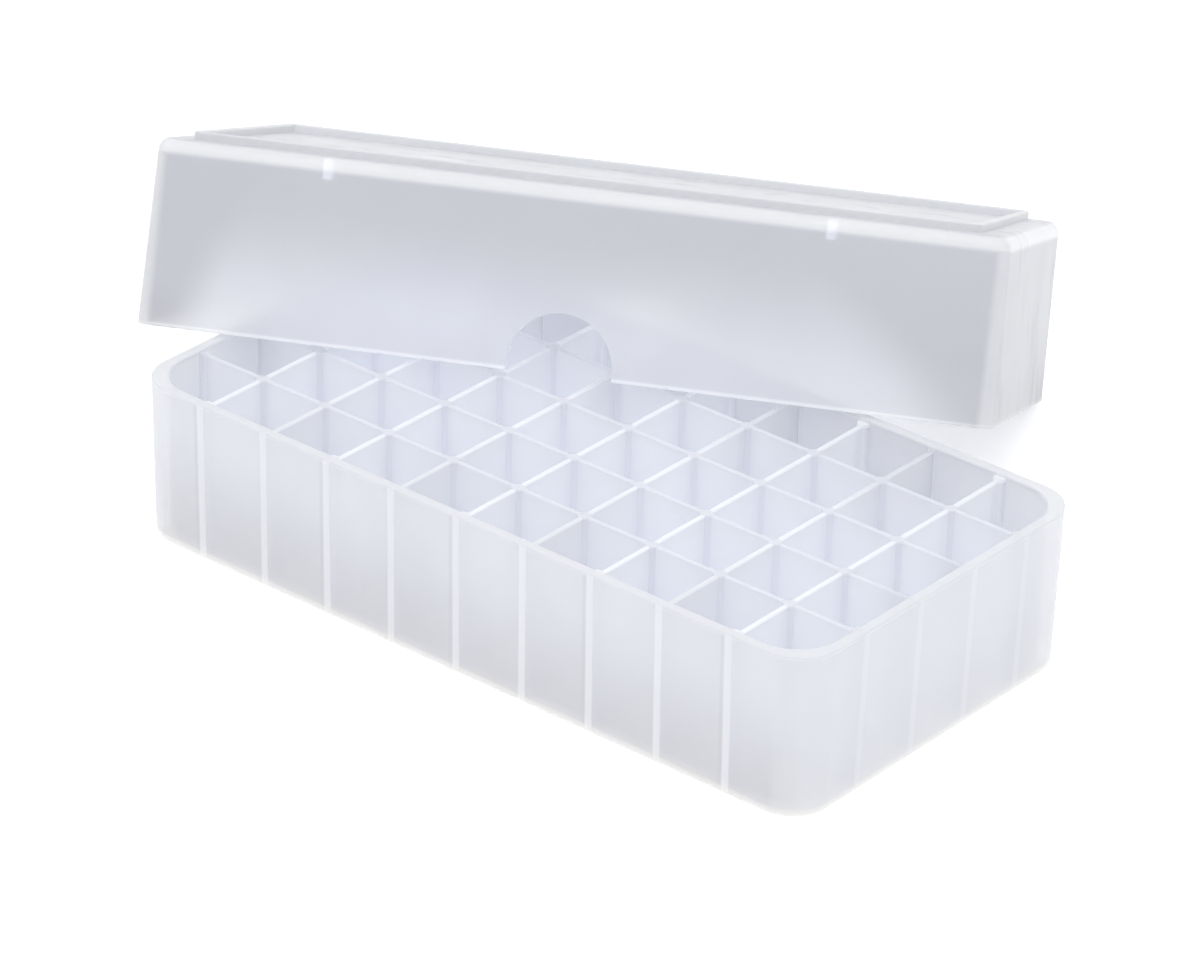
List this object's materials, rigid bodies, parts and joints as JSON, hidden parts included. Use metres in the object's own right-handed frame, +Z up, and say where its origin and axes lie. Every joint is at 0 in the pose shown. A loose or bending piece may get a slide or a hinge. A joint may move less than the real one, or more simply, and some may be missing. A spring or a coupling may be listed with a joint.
{
  "type": "cryogenic storage box",
  "caption": "Open vial storage box in translucent plastic: a tub divided into square cells, with its slip-over lid leaning across one corner.",
  "frame": {"origin": "middle of the base tub's underside", "axes": "+Z up, +X along the base's long side, +Y towards the side that the lid leans on"},
  "size_m": [0.1861, 0.1483, 0.0578],
  "materials": {
    "base_plastic": "satin",
    "lid_plastic": "satin"
  },
  "bodies": {
    "base": {"base_tub": "base_plastic", "long_wall_columns": "base_plastic", "short_wall_columns": "base_plastic", "cell_posts": "base_plastic", "long_divider_1": "base_plastic", "long_divider_2": "base_plastic", "long_divider_3": "base_plastic", "long_divider_4": "base_plastic", "cross_divider_1": "base_plastic", "cross_divider_2": "base_plastic", "cross_divider_3": "base_plastic", "cross_divider_4": "base_plastic", "cross_divider_5": "base_plastic", "cross_divider_6": "base_plastic", "cross_divider_7": "base_plastic", "cross_divider_8": "base_plastic", "cross_divider_9": "base_plastic"},
    "lid": {"lid_shell": "lid_plastic", "stacking_ridge": "lid_plastic", "lid_stop_ribs": "lid_plastic"}
  },
  "joints": [
    {"name": "lid_lift", "type": "slide", "parent": "base", "child": "lid", "axis": [0, 0, 1], "range_m": [0, 0.08]}
  ]
}
